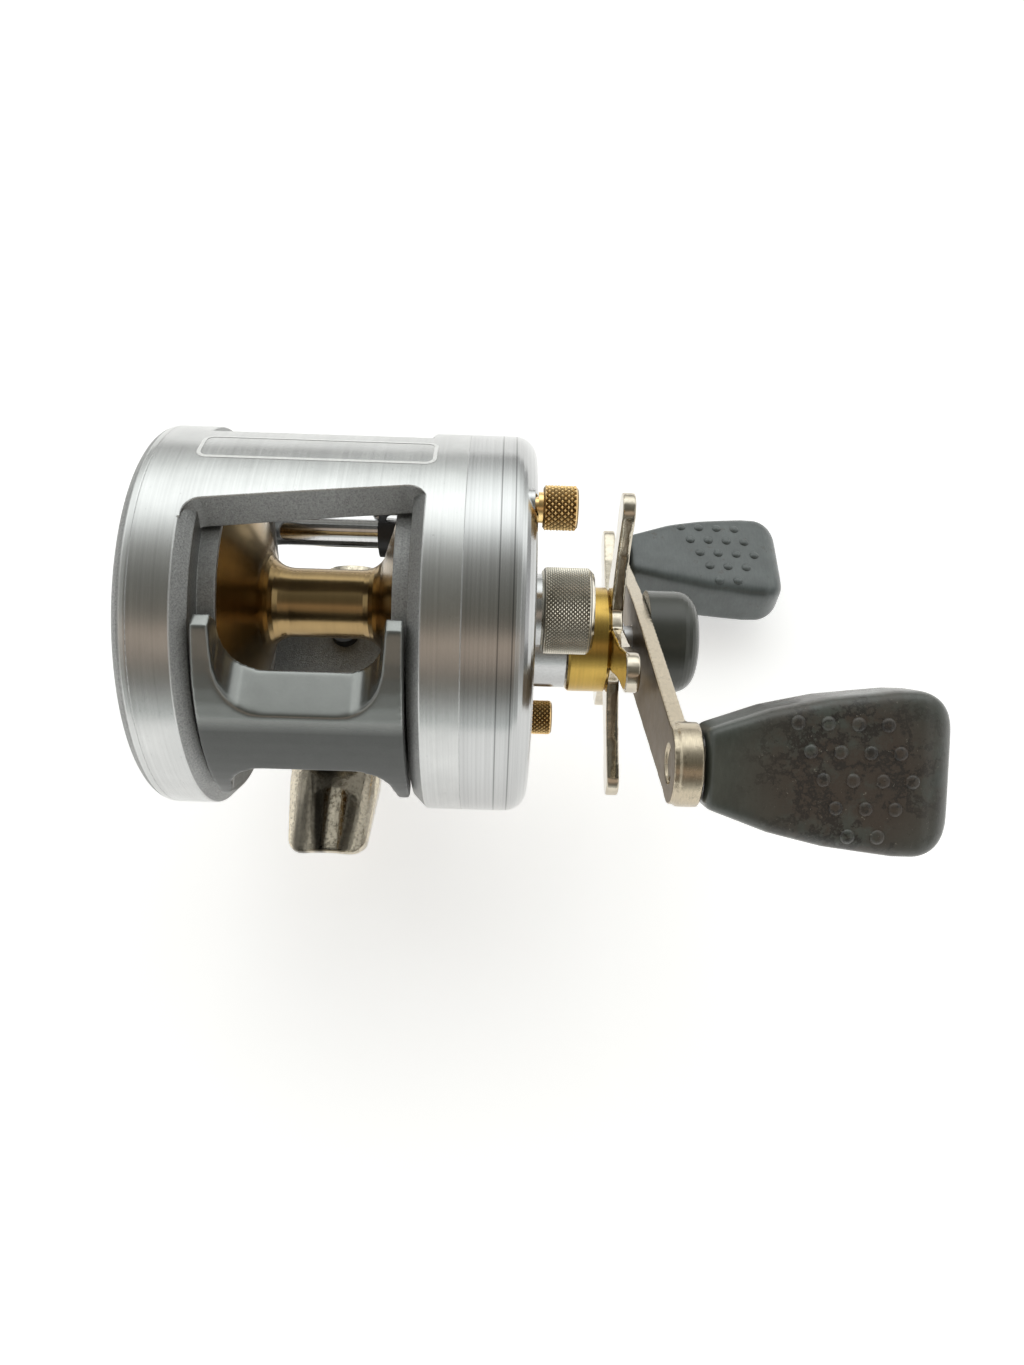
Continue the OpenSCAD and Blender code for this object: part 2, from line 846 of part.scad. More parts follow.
module guide_pawl() {
    color("gainsboro")
        translate([guide_x, worm_axis[0], worm_axis[1] - 6.2])
            cylinder(h = 3.9, r = 1.05);
}

module pawl_cap() {
    color("goldenrod")
        translate([guide_x, worm_axis[0], worm_axis[1] - 8.2])
            difference() {
                union() {
                    cylinder(h = 1.2, r = 2.4);
                    cylinder(h = 1.9, r = 1.05);
                }
                translate([-3, -0.4, -1])
                    cube([6, 0.8, 1.5]);
            }
}

module ratchet() {
    color("dimgray")
        difference() {
            along_x(25.4, 26.4)
                translate(drive_axis)
                    polygon([for (i = [0:11])
                        for (p = [[0, 4.9], [26, 6.2]])
                            polar(p[1], ratchet_turn + i * 30 + p[0])]);
            rod_x(drive_axis, drive_r, 20, 30);
        }
}

module ratchet_pawl() {
    color("dimgray")
        difference() {
            along_x(25.4, 26.4)
                translate(pawl_pivot)
                    rotate(pawl_open)
                        polygon([[-1.9, -1.6], [1.2, -1.9], [4.3, 1.4], [5.1, 3.1], [3.9, 3], [1, 1.7],
                            [-1.9, 1.6]]);
            rod_x(pawl_pivot, 0.95, 20, 30);
        }
}

module pawl_post() {
    color("silver")
        rod_x(pawl_pivot, 0.9, mech_x[0], 26.7);
}

module main_gear() {
    color("goldenrod")
        difference() {
            along_x(gear_x[0], gear_x[1])
                gear(drive_axis, main_teeth, main_module, 0);
            rod_x(drive_axis, drive_r, 20, 40);
            rod_x(drive_axis, 11, gear_x[0] + 1, gear_x[1] + 1);
        }
}

module drag_washers() {
    color("black")
        for (x = [gear_x[0] + 1, gear_x[0] + 2.2])
            ring_x(drive_axis, 10.6, drive_r, x, x + 0.5);
    color("silver")
        ring_x(drive_axis, 10.6, drive_r, gear_x[0] + 1.55, gear_x[0] + 2.15);
}

module pressure_plate() {
    color("gainsboro")
        ring_x(drive_axis, 10.6, drive_r, gear_x[0] + 2.75, gear_x[1] + 0.6);
}

module drag_sleeve() {
    color("gainsboro")
        ring_x(drive_axis, 4.4, drive_r, gear_x[1] + 0.65, hub_x[0] - 0.1);
}

module star_hub() {
    r = 8.86;
    bore = drive_r + 0.03;
    color("gold")
        turned(drive_axis, [[bore, hub_x[0]], [r - 0.4, hub_x[0]], [r, hub_x[0] + 0.4],
            [r, hub_x[1] - 0.4], [r - 0.4, hub_x[1]], [bore, hub_x[1]]]);
}

module star_wheel() {
    x0 = hub_x[1];
    color("gainsboro")
        difference() {
            union() {
                rod_x(drive_axis, 8, x0, x0 + 2);
                for (i = [0:4])
                    translate([0, drive_axis[0], drive_axis[1]])
                        rotate([star_turn + 72 * i, 0, 0])
                            star_arm(x0);
            }
            rod_x(drive_axis, drive_r + 0.03, 40, 60);
        }
}

// one arm of the star wheel, reaching up from the hub and cranked outward
module star_arm(x0) {
    t = 2.1;
    crank = 0.5;
    intersection() {
        rotate([90, 0, 0])
            translate([0, 0, -4])
                linear_extrude(8)
                    polygon([[x0, 0], [x0, 9], [x0 + crank, 24], [x0 + crank, 30],
                        [x0 + crank + t, 30], [x0 + crank + t, 24], [x0 + t, 9], [x0 + t, 0]]);
        along_x(x0 - 1, x0 + 5)
            polygon(concat([[-3.6, 0], [3.6, 0], [3.3, 9], [2.5, 17]], arc([0, star_r - 3], 3, 0, 180, 12),
                [[-2.5, 17], [-3.3, 9]]));
    }
}

// ---------- handle ----------

module handle_arm() {
    recess = 0.6;
    color("tan")
        difference() {
            union() {
                along_x(arm_x[0], arm_x[1])
                    translate(drive_axis)
                        rotate(arm_angle)
                            polygon([[0, 6.6], [10, 6.3], [arm_half, 4.9], [arm_half, -4.9],
                                [10, -6.3], [0, -6.6], [-10, -6.3], [-arm_half, -4.9],
                                [-arm_half, 4.9], [-10, 6.3]]);
                for (at = [near_at, far_at])
                    rod_x(at, 5.5, boss_x[0], boss_x[1]);
                for (at = [near_at, far_at])
                    rod_x(at, 5.2, arm_x[0], boss_x[0] + 0.5);
            }
            rod_x(drive_axis, 2.5, 40, 60);
            for (at = [near_at, far_at])
                rod_x(at, 1.7, 40, 60);
            for (at = [near_at, far_at])
                rod_x(at, 2.6, arm_x[0] - 1, arm_x[0] + recess);
        }
}

module handle_nut() {
    color("gainsboro")
        difference() {
            rod_x(drive_axis, 4.4, arm_x[1], arm_x[1] + 3.4, $fn = 6);
            rod_x(drive_axis, 2.5, 40, 70);
        }
}

module nut_cap() {
    x0 = arm_x[1];
    r = 8.6;
    color("dimgray")
        turned(drive_axis, concat([[6.2, x0], [r, x0]], arc([r - 3.4, x0 + 5], 3.4, 0, 90, 8),
            [[0, x0 + 8.4], [0, x0 + 5.4], [6.2, x0 + 5.4]]));
}

module knob_axles() {
    color("gainsboro")
        for (at = [near_at, far_at])
            union() {
                rod_x(at, 1.7, arm_x[0] + 0.3, boss_x[1] + 1);
                rod_x(at, 2.4, boss_x[1], knob_x + 24);
                rod_x(at, 3, knob_x + 24, knob_x + 25.2);
            }
}

// paddle knob with its end toward +X, wide face turned by tilt degrees
module knob(at, tilt) {
    n = 5.1;
    w = knob_w / 2;
    t = knob_t / 2;
    l = knob_len;
    translate([knob_x, at[0], at[1]])
        rotate([tilt, 0, 0])
            difference() {
                intersection() {
                    translate([0, 0, -20])
                        linear_extrude(40)
                            polygon(concat([[0, -n], [1.2, -n - 0.5], [8, -8], [15, -9.6]],
                                arc([l - 4.6, -w + 4.6], 4.6, -95, 0, 6),
                                arc([l - 4.6, w - 4.6], 4.6, 0, 95, 6),
                                [[15, 9.6], [8, 8], [1.2, n + 0.5], [0, n]]));
                    rotate([90, 0, 0])
                        translate([0, 0, -20])
                            linear_extrude(40)
                                polygon(concat([[0, -4.6], [1.2, -5], [10, -t], [20, -t + 0.3]],
                                    arc([l - 2.6, -2.2], 2.6, -80, 0, 4), arc([l - 2.6, 2.2], 2.6, 0, 80, 4),
                                    [[20, t - 0.3], [10, t], [1.2, 5], [0, 4.6]]));
                }
                rotate([0, 90, 0])
                    translate([0, 0, -1])
                        cylinder(h = 25.1, r = 2.46);
                rotate([0, 90, 0])
                    translate([0, 0, 23.8])
                        cylinder(h = 2, r = 3.1);
            }
}

module knob_near() {
    color("dimgray")
        knob(near_at, 28);
}

module knob_far() {
    color("dimgray")
        knob(far_at, -10);
}

// ---------- cast control ----------

module cast_cap() {
    r = 6.65;
    x0 = cap_x[0];
    x1 = cap_x[1];
    color("silver")
        turned(spool_c, [[5.65, x0], [r - 0.7, x0], [r, x0 + 0.7], [r, x1 - 0.8], [r - 0.8, x1], [0, x1],
            [0, 41.1], [5.65, 41.1]]);
}

module cap_shim() {
    color("goldenrod")
        rod_x(spool_c, 2.1, 40.2, 41.1);
}

frame();
palm_cover();
palm_screws();
reel_foot();
foot_screws();
gear_plate();
mechanism_plate();
plate_posts();
mechanism_screws();
plate_screw();
takedown_screw_top();
takedown_screw_bottom();
left_bearing();
right_bearing();
pinion_bearing();
drive_bearing();
boss_bearing();
brake_drum();
worm_tube();
worm_bushings();
guide_rail();
spool();
spool_shaft();
clutch_pin();
brake_hub();
brake_blocks();
pinion();
yoke();
yoke_posts();
yoke_springs();
thumb_bar();
clutch_cam();
drive_shaft();
level_wind_cog();
idler_gear();
idler_post();
worm_shaft();
worm_gear();
line_guide();
guide_insert();
guide_pawl();
pawl_cap();
ratchet();
ratchet_pawl();
pawl_post();
main_gear();
drag_washers();
pressure_plate();
drag_sleeve();
star_hub();
star_wheel();
handle_arm();
handle_nut();
nut_cap();
knob_axles();
knob_near();
knob_far();
cast_cap();
cap_shim();
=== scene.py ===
import math
import bpy
import bmesh
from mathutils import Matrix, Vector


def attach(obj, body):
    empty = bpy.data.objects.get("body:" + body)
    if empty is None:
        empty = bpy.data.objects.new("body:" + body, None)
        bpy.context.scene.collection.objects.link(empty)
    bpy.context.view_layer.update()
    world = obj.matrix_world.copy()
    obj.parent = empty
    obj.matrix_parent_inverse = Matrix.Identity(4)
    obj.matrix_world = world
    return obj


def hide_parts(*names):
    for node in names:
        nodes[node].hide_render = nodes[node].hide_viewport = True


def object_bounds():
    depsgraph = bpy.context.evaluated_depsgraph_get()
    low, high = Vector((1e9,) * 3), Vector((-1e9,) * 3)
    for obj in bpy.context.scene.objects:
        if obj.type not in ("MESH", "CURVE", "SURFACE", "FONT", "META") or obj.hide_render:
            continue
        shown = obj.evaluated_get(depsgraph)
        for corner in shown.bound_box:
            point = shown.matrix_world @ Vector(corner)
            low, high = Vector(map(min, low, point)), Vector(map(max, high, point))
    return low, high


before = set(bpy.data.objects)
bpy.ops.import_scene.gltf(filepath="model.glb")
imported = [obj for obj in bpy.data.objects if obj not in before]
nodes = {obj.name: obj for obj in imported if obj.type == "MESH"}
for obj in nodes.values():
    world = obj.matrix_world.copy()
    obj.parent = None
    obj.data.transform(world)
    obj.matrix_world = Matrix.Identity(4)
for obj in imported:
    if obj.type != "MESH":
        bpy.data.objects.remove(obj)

MM = 0.001
cad_low, cad_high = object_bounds()

# axes of the turned parts, all parallel to X, as (y, z) in metres
RIM = (0.0, 41 * MM)
SPOOL = (0.5 * MM, 45.4 * MM)
DRIVE = (3.8 * MM, 29.75 * MM)
WORM = (21.5 * MM, 34.3 * MM)

RIM_RADIUS = 29 * MM
SCREW_RING = 25.8 * MM
SCREW_TURN = math.radians(79)
ARM_HALF = 44 * MM
ARM_TURN = math.radians(138.3)

# the two thumb screws: name, turn about the rim's axis, and how far the head is screwed in, in mm
SCREW_SIDES = (("top", SCREW_TURN, 0.0), ("bottom", SCREW_TURN + math.pi, 0.5))

# diamond knurls: the band's radius, crossings round it, their pitch along X, depth and mesh step, in mm
CAP_KNURL = {"radius": 6.65, "count": 66, "pitch": 0.66, "depth": 0.25, "step": 0.083}
SCREW_KNURL = {"radius": 3.05, "count": 22, "pitch": 0.87, "depth": 0.34, "step": 0.08}

# knob shape in mm: half width and half depth at stations along X, and the exponent of its squared section
KNOB_START = 55.9
KNOB_LENGTH = 31.3
KNOB_WIDTH = ((0, 5.0), (1.2, 5.5), (8, 7.9), (15, 9.5), (24, 10.6), (KNOB_LENGTH, 10.65))
KNOB_DEPTH = ((0, 4.6), (1.2, 5.0), (10, 5.7), (20, 5.55), (KNOB_LENGTH, 5.0))
KNOB_SQUARE = 6.5
KNOB_AROUND = 160
KNOB_ALONG = 90

# numbers of the Mix node's colour sockets
MIX_A, MIX_B, MIX_RESULT = 6, 7, 2


def at_ring(turn):
    """Axis of a thumb screw on its ring about the rim's axis."""
    return (RIM[0] + SCREW_RING * math.cos(turn), RIM[1] + SCREW_RING * math.sin(turn))


def at_arm(side):
    """Axis of a knob, at one end (1) or the other (-1) of the handle arm."""
    return (DRIVE[0] + side * ARM_HALF * math.cos(ARM_TURN), DRIVE[1] + side * ARM_HALF * math.sin(ARM_TURN))


# ---------- node helpers ----------

def feed(socket, value):
    """Links another node's output to a socket, or sets the socket to a plain value."""
    if isinstance(value, bpy.types.NodeSocket):
        socket.id_data.links.new(value, socket)
    elif socket.type == "RGBA":
        socket.default_value = (*value, 1)
    else:
        socket.default_value = value


def add_node(tree, kind, inputs=(), **settings):
    """Adds a node with its settings, and feeds its inputs by name or number."""
    made = tree.nodes.new(kind)
    for key, value in settings.items():
        setattr(made, key, value)
    for key, value in dict(inputs).items():
        feed(made.inputs[key], value)
    return made


def add_maths(tree, how, a, b=0.0):
    return add_node(tree, "ShaderNodeMath", {0: a, 1: b}, operation=how).outputs[0]


def add_mix(tree, share, a, b):
    made = add_node(tree, "ShaderNodeMix", {0: share, MIX_A: a, MIX_B: b}, data_type="RGBA")
    return made.outputs[MIX_RESULT]


def add_ramp(tree, value, stops):
    """Colour ramp from (place, colour) stops in rising order."""
    made = add_node(tree, "ShaderNodeValToRGB", {"Fac": value})
    bar = made.color_ramp
    ends = {0: 0, len(stops) - 1: -1}
    for i, (place, colour) in enumerate(stops):
        stop = bar.elements[ends[i]] if i in ends else bar.elements.new(place)
        stop.position = place
        stop.color = (*colour, 1)
    return made.outputs["Color"]


# ---------- camera, floor and light ----------

def add_camera():
    data = bpy.data.cameras.new("camera")
    data.sensor_width = 36
    data.lens = 25.98
    data.clip_start = 0.01
    camera = bpy.data.objects.new("camera", data)
    bpy.context.scene.collection.objects.link(camera)
    camera.location = (29.77 * MM, -73.2 * MM, 178.66 * MM)
    camera.rotation_euler = [math.radians(a) for a in (24.67, -1.37, 1.3)]
    bpy.context.scene.camera = camera


def add_world():
    """Soft room light, with a plain pale wall where the room itself would be seen.

    A bright bank stands high at the back, then a dim ceiling, a faint warm glow and a pale front wall.
    """
    world = bpy.data.worlds.new("studio")
    world.use_nodes = True
    bpy.context.scene.world = world
    tree = world.node_tree

    # colours round the X axis, by degrees from +Y through +Z, and colours towards either side, by |x|
    around = [
        (-180, (0.70, 0.74, 0.72)), (-90, (0.55, 0.56, 0.56)), (-25, (0.34, 0.34, 0.33)),
        (0, (0.45, 0.45, 0.44)), (14, (0.8, 0.82, 0.8)), (28, (1.5, 1.55, 1.52)),
        (43, (1.95, 2.0, 1.98)), (57, (1.75, 1.8, 1.78)), (68, (0.8, 0.82, 0.8)),
        (80, (0.33, 0.33, 0.31)), (95, (0.2, 0.2, 0.18)), (112, (0.15, 0.145, 0.12)),
        (120, (0.2, 0.18, 0.15)), (129, (0.56, 0.46, 0.37)), (140, (0.42, 0.35, 0.29)),
        (150, (0.2, 0.18, 0.15)), (160, (0.26, 0.26, 0.24)), (172, (0.6, 0.62, 0.6)),
        (180, (0.70, 0.74, 0.72)),
    ]
    sideways = [
        (0.0, (0.5, 0.5, 0.5)), (0.42, (0.22, 0.22, 0.21)), (0.55, (0.3, 0.3, 0.29)),
        (0.66, (1.5, 1.55, 1.5)), (0.76, (1.3, 1.32, 1.3)), (0.84, (0.25, 0.25, 0.24)),
        (0.93, (0.3, 0.3, 0.3)), (1.0, (0.9, 0.9, 0.9)),
    ]
    plain_wall = (0.9, 0.91, 0.91)

    direction = add_node(tree, "ShaderNodeTexCoord").outputs["Generated"]
    split = add_node(tree, "ShaderNodeSeparateXYZ", {0: direction}).outputs
    angle = add_maths(tree, "ARCTAN2", split["Z"], split["Y"])
    turn = add_maths(tree, "ADD", add_maths(tree, "DIVIDE", angle, math.tau), 0.5)
    aside = add_maths(tree, "ABSOLUTE", split["X"])
    middle = add_ramp(tree, turn, [(degrees / 360 + 0.5, colour) for degrees, colour in around])
    room = add_mix(tree, add_maths(tree, "POWER", aside, 2.2), middle, add_ramp(tree, aside, sideways))
    seen = add_node(tree, "ShaderNodeLightPath").outputs["Is Camera Ray"]
    feed(tree.nodes["Background"].inputs["Color"], add_mix(tree, seen, room, plain_wall))


def add_floor(level):
    half = 3.0
    mesh = bpy.data.meshes.new("floor")
    corners = [(-half, -half, level), (half, -half, level), (half, half, level), (-half, half, level)]
    mesh.from_pydata(corners, [], [(0, 1, 2, 3)])
    floor = bpy.data.objects.new("floor", mesh)
    bpy.context.scene.collection.objects.link(floor)
    paper = bpy.data.materials.new("floor_paper")
    paper.use_nodes = True
    sockets = paper.node_tree.nodes["Principled BSDF"].inputs
    feed(sockets["Base Color"], (0.93, 0.93, 0.93))
    feed(sockets["Roughness"], 0.9)
    feed(sockets["Emission Color"], (1, 1, 1))
    feed(sockets["Emission Strength"], 0.5)
    mesh.materials.append(paper)


# ---------- materials ----------

class Paint:
    """A material being built up, node by node, in the piece's own coordinates."""

    def __init__(self, name, colour, metallic, rough):
        self.material = bpy.data.materials.new(name)
        self.material.use_nodes = True
        self.tree = self.material.node_tree
        self.shader = self.tree.nodes["Principled BSDF"]
        self.shader.inputs["Metallic"].default_value = metallic
        self.colour = colour
        self.rough = rough
        self.normal = None
        self.place = self.add("ShaderNodeTexCoord").outputs["Object"]

    def add(self, kind, inputs=(), **settings):
        return add_node(self.tree, kind, inputs, **settings)

    def maths(self, how, a, b=0.0):
        return add_maths(self.tree, how, a, b)

    def vector(self, how, a, b=(0, 0, 0)):
        return self.add("ShaderNodeVectorMath", {0: a, 1: b}, operation=how).outputs

    def step(self, value, low, high, to_low=0.0, to_high=1.0):
        """Maps a value from low..high to to_low..to_high, and holds it there beyond both ends."""
        return self.add("ShaderNodeMapRange", {"Value": value, "From Min": low, "From Max": high,
                                               "To Min": to_low, "To Max": to_high}).outputs[0]

    def along(self, axis):
        return self.add("ShaderNodeSeparateXYZ", {0: self.place}).outputs[axis]

    def radius(self, centre):
        """Distance from an axis parallel to X."""
        moved = self.vector("SUBTRACT", self.place, (0, *centre))[0]
        flat = self.vector("MULTIPLY", moved, (0, 1, 1))[0]
        return self.vector("LENGTH", flat)["Value"]

    def near(self, point, inner, outer):
        """1 within the inner distance of a point, fading to 0 at the outer distance."""
        return self.step(self.vector("DISTANCE", self.place, point)["Value"], outer, inner)

    def facing(self, axis):
        """How squarely the surface faces along one axis of the piece."""
        normal = self.add("ShaderNodeTexCoord").outputs["Normal"]
        return self.maths("ABSOLUTE", self.add("ShaderNodeSeparateXYZ", {0: normal}).outputs[axis])

    def noise(self, scale, detail, rough=0.5, where=None):
        return self.add("ShaderNodeTexNoise", {"Vector": where or self.place, "Scale": scale,
                                               "Detail": detail, "Roughness": rough}).outputs[0]

    def grain(self, scales, detail, rough):
        """Noise with its own scale along each axis."""
        return self.noise(1.0, detail, rough, self.vector("MULTIPLY", self.place, scales)[0])

    def lathe_lines(self, centre, fine=2600.0):
        """Noise that changes along X and outward but hardly round the axis."""
        where = self.add("ShaderNodeCombineXYZ", {"X": self.maths("MULTIPLY", self.along("X"), fine),
                                                  "Y": self.maths("MULTIPLY", self.radius(centre), fine),
                                                  "Z": self.noise(40.0, 2.0)}).outputs[0]
        return self.noise(1.0, 4.0, 0.6, where)

    def both(self, mask, other):
        return self.maths("MULTIPLY", mask, other)

    def tint(self, mask, colour):
        """Lays another colour over the one so far, where mask is 1."""
        self.colour = add_mix(self.tree, mask, self.colour, colour)

    def shade(self, mask, low, high):
        """Multiplies the colour by low where mask is 0 and by high where it is 1."""
        gain = self.step(mask, 0.0, 1.0, low, high)
        scaled = self.add("ShaderNodeVectorMath", {0: self.colour, "Scale": gain}, operation="SCALE")
        self.colour = scaled.outputs[0]

    def mottle(self, pattern, low, high, spread=0.2):
        """Shades by a noise, from low in its troughs to high on its crests."""
        self.shade(self.step(pattern, 0.5 - spread, 0.5 + spread), low, high)

    def roughen(self, mask, amount):
        self.rough = self.maths("ADD", self.rough, self.maths("MULTIPLY", mask, amount))

    def bump(self, height, depth):
        made = self.add("ShaderNodeBump", {"Height": height, "Strength": 1.0, "Distance": depth})
        if self.normal:
            feed(made.inputs["Normal"], self.normal)
        self.normal = made.outputs[0]

    def rounded(self, radius):
        """Makes the edges look worn round."""
        self.normal = self.add("ShaderNodeBevel", {"Radius": radius}, samples=6).outputs[0]

    def done(self, **sockets):
        feed(self.shader.inputs["Base Color"], self.colour)
        feed(self.shader.inputs["Roughness"], self.rough)
        if self.normal:
            feed(self.shader.inputs["Normal"], self.normal)
        for key, value in sockets.items():
            self.shader.inputs[key.replace("_", " ")].default_value = value
        return self.material


def aluminium_frame():
    """Brushed round the rims, with a grainy cast look on everything cut into them."""
    p = Paint("frame_aluminium", (0.55, 0.555, 0.55), 1.0, 0.2)
    p.rounded(0.25 * MM)
    lines = p.lathe_lines(RIM)
    p.mottle(lines, 0.9, 1.04)
    p.mottle(p.noise(160, 3), 0.92, 1.04)
    p.shade(p.step(p.noise(1900, 2, 0.8), 0.68, 0.76), 1.0, 0.7)
    p.roughen(lines, 0.08)
    inside = p.step(p.radius(RIM), RIM_RADIUS - 0.1 * MM, RIM_RADIUS - 0.2 * MM)
    cast = p.noise(3800, 4, 0.75)
    p.roughen(inside, 0.24)
    p.shade(inside, 1.0, 0.72)
    p.shade(p.both(inside, p.step(cast, 0.38, 0.62)), 1.12, 0.72)
    p.bump(p.both(inside, cast), 0.08 * MM)
    p.bump(lines, 0.004 * MM)
    return p.done(Anisotropic=0.35)


def turned_aluminium():
    """Turned cover with two fine dark seams round its edge."""
    p = Paint("turned_aluminium", (0.56, 0.565, 0.565), 1.0, 0.17)
    p.rounded(0.2 * MM)
    lines = p.lathe_lines(RIM, 3200.0)
    p.mottle(lines, 0.86, 1.05)
    x = p.along("X")
    for seam in (29.3, 31.2):
        off = p.maths("ABSOLUTE", p.maths("SUBTRACT", x, seam * MM))
        p.shade(p.step(off, 0.14 * MM, 0.06 * MM), 1.0, 0.5)
    p.roughen(lines, 0.08)
    p.bump(lines, 0.006 * MM)
    return p.done(Anisotropic=0.45)


def knurled_metal(name, colour, rough, centre, knurl):
    """Metal with painted shade darkening its knurl grooves, which are rougher too."""
    p = Paint(name, colour, 1.0, rough)
    radius, depth = knurl["radius"], knurl["depth"]
    reach = p.radius(centre)
    sunk = p.step(reach, (radius - 0.1 * depth) * MM, (radius - 0.8 * depth) * MM)
    groove = p.both(sunk, p.step(reach, (radius - depth - 0.15) * MM, (radius - depth - 0.05) * MM))
    # painted shade: the knurl grooves are darkened as if shadowed, and the ridges are a little lighter
    p.shade(groove, 1.12, 0.32)
    p.roughen(groove, 0.3)
    p.mottle(p.noise(500, 4), 0.85, 1.06)
    p.bump(p.noise(2600, 3), 0.006 * MM)
    return p.done()


def cast_nickel(name, colour, rough, waves, pits=0.0):
    """Worn bright plating over a wavy casting; a pitted one also gets pits and painted reflection streaks,
    light and dark along its length.
    """
    p = Paint(name, colour, 1.0, rough)
    p.shade(p.step(p.noise(520, 5, 0.65), 0.32, 0.66), 0.84, 1.05)
    p.tint(p.step(p.noise(900, 5, 0.7), 0.65, 0.75), (0.3, 0.24, 0.17))
    p.bump(p.noise(330, 2), waves * MM)
    if pits:
        # painted reflection: light and dark lengthwise streaks, like the shine on a curved plate
        p.mottle(p.grain((310, 26, 60), 2, 0.5), 0.3, 1.3, 0.08)
        low = p.step(p.noise(1500, 4, 0.75), 0.5, 0.68)
        p.bump(low, -pits * MM)
        p.roughen(low, 0.2)
        p.shade(low, 1.04, 0.6)
    return p.done()


def handle_metal():
    """Champagne plating: bright on the edges, rubbed and brown on the flat faces."""
    p = Paint("arm_bronze", (0.52, 0.45, 0.34), 1.0, 0.2)
    flat = p.step(p.facing("X"), 0.85, 0.97)
    brushed = p.grain((5200, 900, 900), 4, 0.65)
    p.tint(flat, (0.2, 0.15, 0.095))
    p.roughen(flat, 0.16)
    p.mottle(brushed, 0.9, 1.05, 0.15)
    p.shade(p.step(p.noise(800, 5, 0.75), 0.55, 0.7), 1.02, 0.74)
    p.roughen(p.noise(420, 4), 0.12)
    p.bump(brushed, 0.004 * MM)
    return p.done()


def turned_metal(name, colour, rough, centre, depth=0.004, dull=0.9):
    p = Paint(name, colour, 1.0, rough)
    p.rounded(0.12 * MM)
    lines = p.lathe_lines(centre)
    p.mottle(lines, dull, 1.05)
    p.mottle(p.noise(300, 3), 0.92, 1.0, 0.15)
    p.roughen(lines, 0.06)
    p.bump(lines, depth * MM)
    return p.done()


def plain_metal(name, colour, rough):
    p = Paint(name, colour, 1.0, rough)
    p.rounded(0.12 * MM)
    cloud = p.noise(420, 4)
    p.mottle(cloud, 0.86, 1.05)
    p.roughen(cloud, 0.12)
    return p.done()


def plastic(name, colour, rough, grain=0.01):
    p = Paint(name, colour, 0.0, rough)
    p.rounded(0.12 * MM)
    cloud = p.noise(260, 3)
    p.mottle(cloud, 0.9, 1.08)
    p.roughen(cloud, 0.1)
    p.bump(p.noise(3000, 3), grain * MM)
    return p.done()


def thumb_paint():
    """Satin metallic grey, with painted light on the saddle and painted shade on the front face below it; the
    saddle is smoother too.
    """
    p = Paint("thumb_grey", (0.2, 0.207, 0.2), 0.9, 0.22)
    fine = p.noise(4200, 3, 0.7)
    wear = p.noise(380, 4)
    low = p.step(p.along("Z"), 57 * MM, 55 * MM)
    # painted light and shade: colour x1.3 above 57 mm on the saddle, x0.42 below 55 mm on the front face
    p.shade(low, 1.3, 0.42)
    p.mottle(fine, 0.95, 1.05)
    p.mottle(wear, 0.97, 1.03, 0.15)
    p.roughen(wear, 0.04)
    p.roughen(low, 0.06)
    p.bump(fine, 0.003 * MM)
    return p.done(Coat_Weight=0.2, Coat_Roughness=0.15)


def knob_rubber(name, colour, soil=None):
    """Worn slate rubber, with dried dirt and dark cracks about one point if it is soiled."""
    p = Paint(name, colour, 0.0, 0.34)
    skin = p.noise(1500, 5, 0.65)
    p.mottle(p.noise(240, 4), 0.8, 1.12)
    p.mottle(p.grain((2600, 700, 700), 3, 0.6), 0.88, 1.08)
    if soil:
        heart = p.near(soil, 9 * MM, 16 * MM)
        patches = p.noise(170, 6, 0.68)
        dirt = p.both(heart, p.step(patches, 0.36, 0.5))
        cracks = p.maths("ABSOLUTE", p.maths("SUBTRACT", p.noise(140, 7, 0.7), 0.5))
        p.tint(dirt, (0.056, 0.04, 0.028))
        p.tint(p.both(heart, p.step(cracks, 0.035, 0.008)), (0.016, 0.012, 0.009))
        p.tint(p.both(heart, p.step(p.noise(420, 6, 0.72), 0.57, 0.64)), (0.02, 0.016, 0.012))
        p.tint(p.both(heart, p.step(p.noise(1500, 5, 0.8), 0.63, 0.7)), (0.3, 0.28, 0.23))
        p.roughen(dirt, 0.18)
        p.bump(patches, 0.04 * MM)
    else:
        p.tint(p.step(p.noise(420, 5, 0.7), 0.6, 0.7), (0.06, 0.055, 0.045))
    p.roughen(skin, 0.15)
    p.bump(skin, 0.03 * MM)
    return p.done(Coat_Weight=0.45, Coat_Roughness=0.16)


def printed_white():
    p = Paint("printed_white", (0.93, 0.93, 0.92), 0.0, 0.5)
    p.mottle(p.noise(2500, 3), 0.9, 1.04)
    return p.done()


# ---------- mesh helpers ----------

def outward_mesh(name, verts, faces, weld=0.0):
    """Mesh with its faces turned outward, and points closer than the weld distance joined."""
    mesh = bpy.data.meshes.new(name)
    mesh.from_pydata(verts, [], faces)
    work = bmesh.new()
    work.from_mesh(mesh)
    if weld:
        bmesh.ops.remove_doubles(work, verts=work.verts, dist=weld)
    bmesh.ops.recalc_face_normals(work, faces=work.faces)
    work.to_mesh(mesh)
    work.free()
    return mesh


def make_object(name, mesh, material, body, cad=()):
    """Finishes a new piece: material, shading, body, and the CAD nodes it stands for."""
    obj = bpy.data.objects.new(name, mesh)
    bpy.context.scene.collection.objects.link(obj)
    mesh.materials.append(material)
    mesh.shade_smooth()
    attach(obj, body)
    if cad:
        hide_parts(*cad)
    return obj


